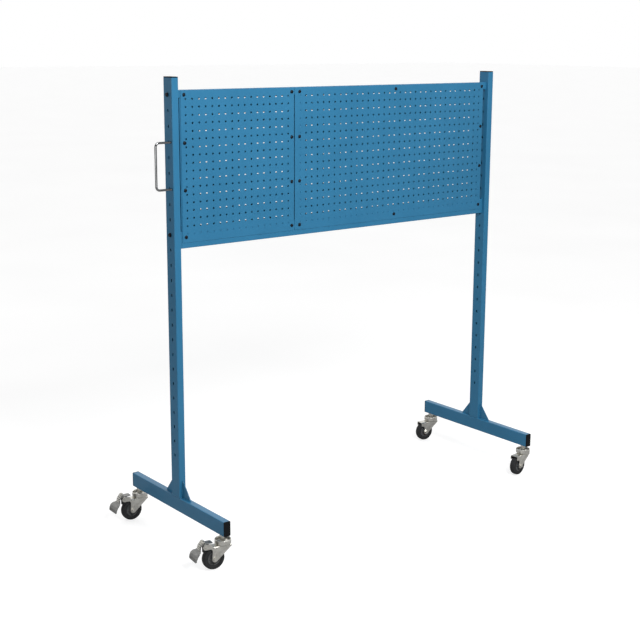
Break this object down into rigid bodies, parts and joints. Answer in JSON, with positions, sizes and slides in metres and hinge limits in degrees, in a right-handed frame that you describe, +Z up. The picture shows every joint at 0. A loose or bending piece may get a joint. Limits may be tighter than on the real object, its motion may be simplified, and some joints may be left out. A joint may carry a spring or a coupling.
{
  "type": "pegboard display stand",
  "caption": "Mobile double-sided pegboard stand: perforated blue steel panels between slotted uprights on bar feet, with a chrome push handle and swivel castors, two braked.",
  "frame": {"origin": "on the floor, at the middle of the plan box of the whole stand with its castors trailing as built", "axes": "+Z up, +X along the board away from the push handle, +Y from the front face of the board (seen with the handle on the left) to its rear face"},
  "size_m": [1.5546, 0.5844, 1.55],
  "materials": {
    "blue_powder_coat": "smooth semi-gloss blue powder coat on steel tube and sheet",
    "black_plastic": "satin moulded black plastic",
    "chrome": "polished chrome plate",
    "zinc_plate": "bright zinc plate on pressed steel, slightly warm",
    "dark_steel": "dark passivated steel",
    "grey_nylon": "satin grey nylon",
    "grey_rubber": "matt dark grey rubber"
  },
  "bodies": {
    "stand": {"bottom_rail": "blue_powder_coat", "front_left_sheet": "blue_powder_coat", "front_right_sheet": "blue_powder_coat", "left_centre_post": "blue_powder_coat", "left_end_post": "blue_powder_coat", "left_foot": "blue_powder_coat", "left_front_castor_stem": "zinc_plate", "left_front_foot_plug": "black_plastic", "left_front_gusset": "blue_powder_coat", "left_lower_frame_bolt": "dark_steel", "left_rear_castor_stem": "zinc_plate", "left_rear_foot_plug": "black_plastic", "left_rear_gusset": "blue_powder_coat", "left_upper_frame_bolt": "dark_steel", "left_upright": "blue_powder_coat", "left_upright_cap": "black_plastic", "push_handle": "chrome", "rear_left_sheet": "blue_powder_coat", "rear_right_sheet": "blue_powder_coat", "right_centre_post": "blue_powder_coat", "right_end_post": "blue_powder_coat", "right_foot": "blue_powder_coat", "right_front_castor_stem": "zinc_plate", "right_front_foot_plug": "black_plastic", "right_front_gusset": "blue_powder_coat", "right_lower_frame_bolt": "dark_steel", "right_rear_castor_stem": "zinc_plate", "right_rear_foot_plug": "black_plastic", "right_rear_gusset": "blue_powder_coat", "right_upper_frame_bolt": "dark_steel", "right_upright": "blue_powder_coat", "right_upright_cap": "black_plastic", "top_rail": "blue_powder_coat"},
    "left_front_swivel": {"left_front_castor_fork": "zinc_plate", "left_front_ball_race": "dark_steel", "left_front_axle_bolt": "dark_steel", "left_front_brake_pin": "dark_steel"},
    "left_front_wheel": {"left_front_wheel_core": "grey_nylon", "left_front_tyre": "grey_rubber"},
    "left_front_brake": {"left_front_brake_pedal": "zinc_plate", "left_front_brake_shoe": "grey_rubber"},
    "left_rear_swivel": {"left_rear_castor_fork": "zinc_plate", "left_rear_ball_race": "dark_steel", "left_rear_axle_bolt": "dark_steel", "left_rear_brake_pin": "dark_steel"},
    "left_rear_wheel": {"left_rear_wheel_core": "grey_nylon", "left_rear_tyre": "grey_rubber"},
    "left_rear_brake": {"left_rear_brake_pedal": "zinc_plate", "left_rear_brake_shoe": "grey_rubber"},
    "right_front_swivel": {"right_front_castor_fork": "zinc_plate", "right_front_ball_race": "dark_steel", "right_front_axle_bolt": "dark_steel"},
    "right_front_wheel": {"right_front_wheel_core": "grey_nylon", "right_front_tyre": "grey_rubber"},
    "right_rear_swivel": {"right_rear_castor_fork": "zinc_plate", "right_rear_ball_race": "dark_steel", "right_rear_axle_bolt": "dark_steel"},
    "right_rear_wheel": {"right_rear_wheel_core": "grey_nylon", "right_rear_tyre": "grey_rubber"}
  },
  "joints": [
    {"name": "left_front_swivel_turn", "type": "hinge", "parent": "stand", "child": "left_front_swivel", "pos_m": [-0.66701, -0.2645, 0.09], "axis": [0, 0, 1], "continuous": true},
    {"name": "left_front_wheel_spin", "type": "hinge", "parent": "left_front_swivel", "child": "left_front_wheel", "pos_m": [-0.70167, -0.25963, 0.0375], "axis": [-0.1392, -0.9903, 0], "continuous": true},
    {"name": "left_front_brake_press", "type": "hinge", "parent": "left_front_swivel", "child": "left_front_brake", "pos_m": [-0.73336, -0.25518, 0.084], "axis": [-0.1392, -0.9903, 0], "range_deg": [0, 10]},
    {"name": "left_rear_swivel_turn", "type": "hinge", "parent": "stand", "child": "left_rear_swivel", "pos_m": [-0.66701, 0.2587, 0.09], "axis": [0, 0, 1], "continuous": true},
    {"name": "left_rear_wheel_spin", "type": "hinge", "parent": "left_rear_swivel", "child": "left_rear_wheel", "pos_m": [-0.70196, 0.26053, 0.0375], "axis": [-0.0523, -0.9986, 0], "continuous": true},
    {"name": "left_rear_brake_press", "type": "hinge", "parent": "left_rear_swivel", "child": "left_rear_brake", "pos_m": [-0.73392, 0.2622, 0.084], "axis": [-0.0523, -0.9986, 0], "range_deg": [0, 10]},
    {"name": "right_front_swivel_turn", "type": "hinge", "parent": "stand", "child": "right_front_swivel", "pos_m": [0.75049, -0.2645, 0.09], "axis": [0, 0, 1], "continuous": true},
    {"name": "right_front_wheel_spin", "type": "hinge", "parent": "right_front_swivel", "child": "right_front_wheel", "pos_m": [0.71579, -0.26913, 0.0375], "axis": [0.1323, -0.9912, 0], "continuous": true},
    {"name": "right_rear_swivel_turn", "type": "hinge", "parent": "stand", "child": "right_rear_swivel", "pos_m": [0.75049, 0.2587, 0.09], "axis": [0, 0, 1], "continuous": true},
    {"name": "right_rear_wheel_spin", "type": "hinge", "parent": "right_rear_swivel", "child": "right_rear_wheel", "pos_m": [0.71572, 0.26272, 0.0375], "axis": [-0.1149, -0.9934, 0], "continuous": true}
  ]
}
